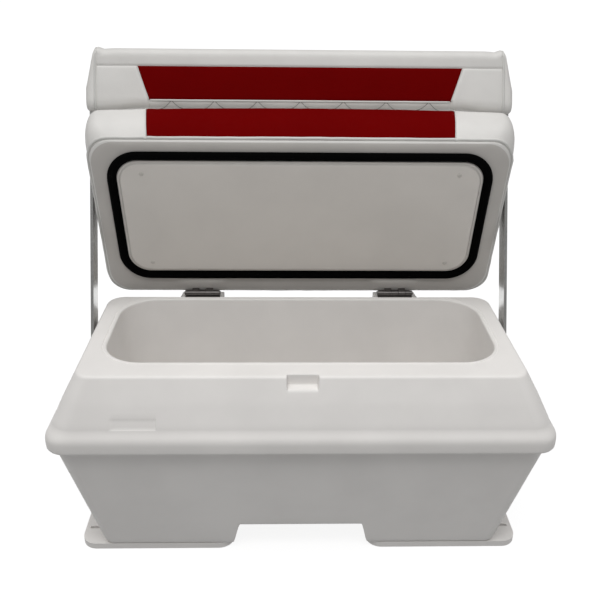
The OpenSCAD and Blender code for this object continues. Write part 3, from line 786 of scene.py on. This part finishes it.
def build_back():
    half = back_section()
    outline = half + [(-n, s) for n, s in half[-2:0:-1]]
    outline = np.array(outline, float)
    count = len(outline)
    length = np.concatenate([[0], np.cumsum(np.linalg.norm(np.diff(outline, axis=0), axis=1))])
    ts = np.concatenate([np.linspace(0, 0.95, 60), [0.97, 0.985, 0.994, 1.0]])
    ts = np.concatenate([-ts[:0:-1], ts])
    outs = np.array([0.004, 0.012, 0.03, 0.08, 0.16, 0.28, 0.42, 0.56, 0.7, 0.82, 0.91, 0.96, 0.985,
                     1.0])
    # the end panels: distance past the piping line, and how far the outline is drawn in
    ends = [(0.9, 1.0), (2.2, 0.4), (4, 0.0), (6.2, 0.3), (8, 1.3), (9.2, 3.4), (9.6, 7), (9.7, 14)]
    cols = []
    for kind, values in (("L_end", ends[::-1]), ("L", outs[::-1]), ("mid", ts),
                         ("R", outs), ("R_end", ends)):
        for v in values:
            cols.append((kind, v))
    grid = np.zeros((len(cols), count, 3))
    # arc distance from the middle of the bottom, signed by side
    arc = length.copy()
    arc[arc > length[-1] / 2 + 3] -= length[-1] + np.linalg.norm(outline[0] - outline[-1])
    bead_arc = float(np.interp(seam_red_s, outline[:count // 2, 1], length[:count // 2]))
    drop = np.abs(arc) - bead_arc
    for c, (kind, v) in enumerate(cols):
        sx = -1 if kind.startswith("L") else 1
        for p in range(count):
            n, s = outline[p]
            seam = back_seam_x(s)
            draw, x = 0.0, 0.0
            if kind == "mid":
                x = v * seam
            elif kind in ("L", "R"):
                x = sx * (seam + v * (piping_x - seam))
            else:
                wrap = float(np.interp(s, [724, 742, 804], [2.16, 1.75, 0.55]))
                x = sx * (piping_x + v[0] * wrap)
                draw = v[1]
            ax = abs(x)
            # how far this point stands out from the plain outline
            out = 0.0
            inside = ax < piping_x
            if inside:
                face = seam_red_s < s < seam_top_s and abs(n) > 30
                if face:
                    u = (s - seam_red_s) / (seam_top_s - seam_red_s)
                    out += 1.6 * math.sin(math.pi * u) ** 0.7
                if s >= seam_top_s:
                    out += 1.8 * math.exp(-((s - 790) / 16) ** 2)
                # seams: the top one, the lower one, the slanted ones
                out -= 2.2 * math.exp(-((s - seam_top_s) / 1.5) ** 2) * (abs(n) > 30)
                if abs(n) > 20:
                    out -= 1.6 * math.exp(-((s - seam_red_s) / 2.2) ** 2) * (ax < seam + 1)
                slant = abs(ax - seam)
                if s < seam_top_s:
                    out -= 2.0 * math.exp(-(slant / 1.8) ** 2) - 0.8 * math.exp(-(slant / 14) ** 2)
                # quilting between the slanted seams, round the bottom
                if s < seam_red_s + 1 and ax < seam:
                    w = smooth_step((seam - ax) / 10) * smooth_step((seam_red_s - s) / 3 + 0.2)
                    g1 = (x / quilt_x + drop[p] / quilt_arc) % 1.0
                    g2 = (x / quilt_x - drop[p] / quilt_arc) % 1.0
                    d = min(min(g1, 1 - g1), min(g2, 1 - g2)) * 62
                    out += w * (1.4 * (1 - math.exp(-(d / 4.5) ** 2)) - 1.1)
                # the cover drawn down at the piping, with ears at its upper corners
                gap = piping_x - ax
                out -= 1.5 * math.exp(-(gap / 2.5) ** 2)
                if s > 792:
                    out += 3.0 * math.exp(-((gap - 4) / 5) ** 2) - 1.8 * math.exp(-((gap - 17) / 8) ** 2)
            d, size = outward(n, s)
            move = out - draw * (1.4 if kind.endswith("end") else 1)
            if size + move < 2:
                move = 2 - size
            # the bottom hangs lower at its ends; nothing reaches the lid on the way over
            n2, s2 = n + d[0] * move, max(s + d[1] * move, back_low + 0.3)
            s2 -= (end_hang * smooth_step((ax - 325) / 70)
                   * smooth_step((back_low + hang_reach - s) / hang_reach))
            grid[c, p] = (x, n2, s2)
    verts = grid.reshape(-1, 3)
    faces, face_mats = [], []
    for c in range(len(cols) - 1):
        mid = cols[c][0] == "mid" and cols[c + 1][0] == "mid"
        for p in range(count):
            q = (p + 1) % count
            faces.append((c * count + p, (c + 1) * count + p, (c + 1) * count + q, c * count + q))
            s_low, s_high = sorted((outline[p][1], outline[q][1]))
            is_red = (mid and s_low >= seam_red_s - 0.6 and s_high <= seam_top_s + 0.1
                      and abs(outline[p][0]) > 30 and abs(outline[q][0]) > 30)
            face_mats.append(1 if is_red else 0)
    faces += [tuple(range(count)), tuple((len(cols) - 1) * count + p for p in range(count))]
    face_mats += [0, 0]
    back = make("back_pad", verts, faces, "backrest", [WHITE, RED], ("back_cushion", "back_frame"),
                face_mats, on_arm)
    # piping round both ends
    for name, sx in (("left", -1), ("right", 1)):
        path = []
        for p in range(count):
            n, s = outline[p]
            d = outward(n, s)[0]
            lift = 0.2 if s > back_low + 3 else -1.2
            hang = end_hang * smooth_step((back_low + hang_reach - s) / hang_reach)
            path.append((sx * (piping_x + 0.6), n + d[0] * lift, s + d[1] * lift - hang))
        path = np.array(path)
        tube_around("back_piping_" + name, path, 2.3, "backrest", WELT)
    # welts along the red panel's slanted ends and the bead along its lower edge, on both faces
    for face_name, sn in (("front", -1), ("rear", 1)):
        for name, sx in (("left", -1), ("right", 1)):
            line = [(sx * back_seam_x(s), sn * surface_n(outline, s, 0.4), s)
                    for s in np.linspace(701, 766, 24)]
            tube(f"back_welt_{face_name}_{name}", line, 1.2, "backrest", WELT, on_arm)
        line = [(x, sn * surface_n(outline, seam_red_s, 0.3), seam_red_s)
                for x in np.linspace(-304, 304, 90)]
        tube("back_bead_" + face_name, line, 1.9, "backrest", WELT, on_arm)
        for k in range(-4, 5):
            for slope in (-1, 1):
                arcs = np.linspace(bead_arc - 2, 12, 16)
                x = k * quilt_x + slope * (bead_arc - arcs) * quilt_x / quilt_arc
                keep = np.abs(x) < 303
                if keep.sum() > 4:
                    n = np.interp(arcs, length[:count // 2], -outline[:count // 2, 0])
                    up = np.interp(arcs, length[:count // 2], outline[:count // 2, 1])
                    line = np.stack([x, sn * (n - 0.6), np.maximum(up, back_low + 0.5)], 1)[keep]
                    tube(f"back_stitch_{face_name}_{k + 4}_{slope + 1}", line, 0.55, "backrest",
                         THREAD, on_arm, sides=6)


def surface_n(outline, s, lift):
    half = outline[: len(outline) // 2 + 1]
    return float(np.interp(s, half[:, 1], -half[:, 0])) + lift


def tube_around(name, path, radius, body, mat):
    """A closed cord that lies in a plane across X."""
    tangent = np.roll(path, -1, 0) - np.roll(path, 1, 0)
    tangent /= np.linalg.norm(tangent, axis=1)[:, None]
    side = np.tile([1.0, 0, 0], (len(path), 1))
    lift = np.cross(side, tangent)
    sides = 10
    a = np.linspace(0, 2 * math.pi, sides, endpoint=False)
    rings = path[:, None] + radius * (side[:, None] * np.cos(a)[None, :, None]
                                      + lift[:, None] * np.sin(a)[None, :, None])
    faces = strip_faces(len(path), sides) + loop_faces(len(path), sides)
    return make(name, rings.reshape(-1, 3), faces, body, [mat], to_world=on_arm)


build_back()


# ---------------------------------------------------------------- stage, light, camera

def plane(name, size, z, color):
    mesh = bpy.data.meshes.new(name)
    h = size / 2
    mesh.from_pydata([(-h, -h, z), (h, -h, z), (h, h, z), (-h, h, z)], [], [(0, 1, 2, 3)])
    m, _, shader = new_material(name, color, 0.9)
    shader.inputs["Specular IOR Level"].default_value = 0.1
    shader.inputs["Emission Color"].default_value = (1, 1, 1, 1)
    shader.inputs["Emission Strength"].default_value = 0.85
    mesh.materials.append(m)
    ob = bpy.data.objects.new(name, mesh)
    bpy.context.scene.collection.objects.link(ob)
    return ob


def area_light(name, place, target, size, power):
    lamp = bpy.data.lights.new(name, "AREA")
    lamp.shape = "RECTANGLE"
    lamp.size, lamp.size_y = size
    lamp.energy = power
    ob = bpy.data.objects.new(name, lamp)
    ob.location = place
    ob.rotation_euler = (Vector(target) - Vector(place)).to_track_quat("-Z", "Y").to_euler()
    bpy.context.scene.collection.objects.link(ob)
    return ob


floor = plane("floor", 60, 0, (0.25, 0.25, 0.25))
floor.visible_diffuse = False
scene = bpy.context.scene
world = bpy.data.worlds.new("studio")
scene.world = world
world.use_nodes = True
world.node_tree.nodes["Background"].inputs["Color"].default_value = (1, 1, 1, 1)
world.node_tree.nodes["Background"].inputs["Strength"].default_value = 0.26
sky = bpy.data.lights.new("sky", "SUN")
sky.energy = 1.8
sky.angle = math.radians(70)
sky_lamp = bpy.data.objects.new("sky", sky)
sky_lamp.rotation_euler = (math.radians(8), math.radians(-4), 0)
scene.collection.objects.link(sky_lamp)
area_light("cavity", (0, -0.8, 1.5), (0, 0.06, 0.2), (0.8, 0.3), 3)
scene.view_settings.view_transform = "Standard"

camera_data = bpy.data.cameras.new("camera")
camera_data.sensor_width = 36
camera_data.lens = 45
camera = bpy.data.objects.new("camera", camera_data)
scene.collection.objects.link(camera)
pitch, yaw, roll = 0.4447, 0.0259, 0.0123
look = Vector((math.sin(yaw) * math.cos(pitch), math.cos(yaw) * math.cos(pitch), -math.sin(pitch)))
right = look.cross(Vector((0, 0, 1))).normalized()
up = right.cross(look)
right, up = (right * math.cos(roll) + up * math.sin(roll),
             up * math.cos(roll) - right * math.sin(roll))
camera.matrix_world = Matrix.Translation((-0.0363, -1.2955, 1.0934)) @ Matrix(
    (right, up, -look)).transposed().to_4x4()
scene.camera = camera
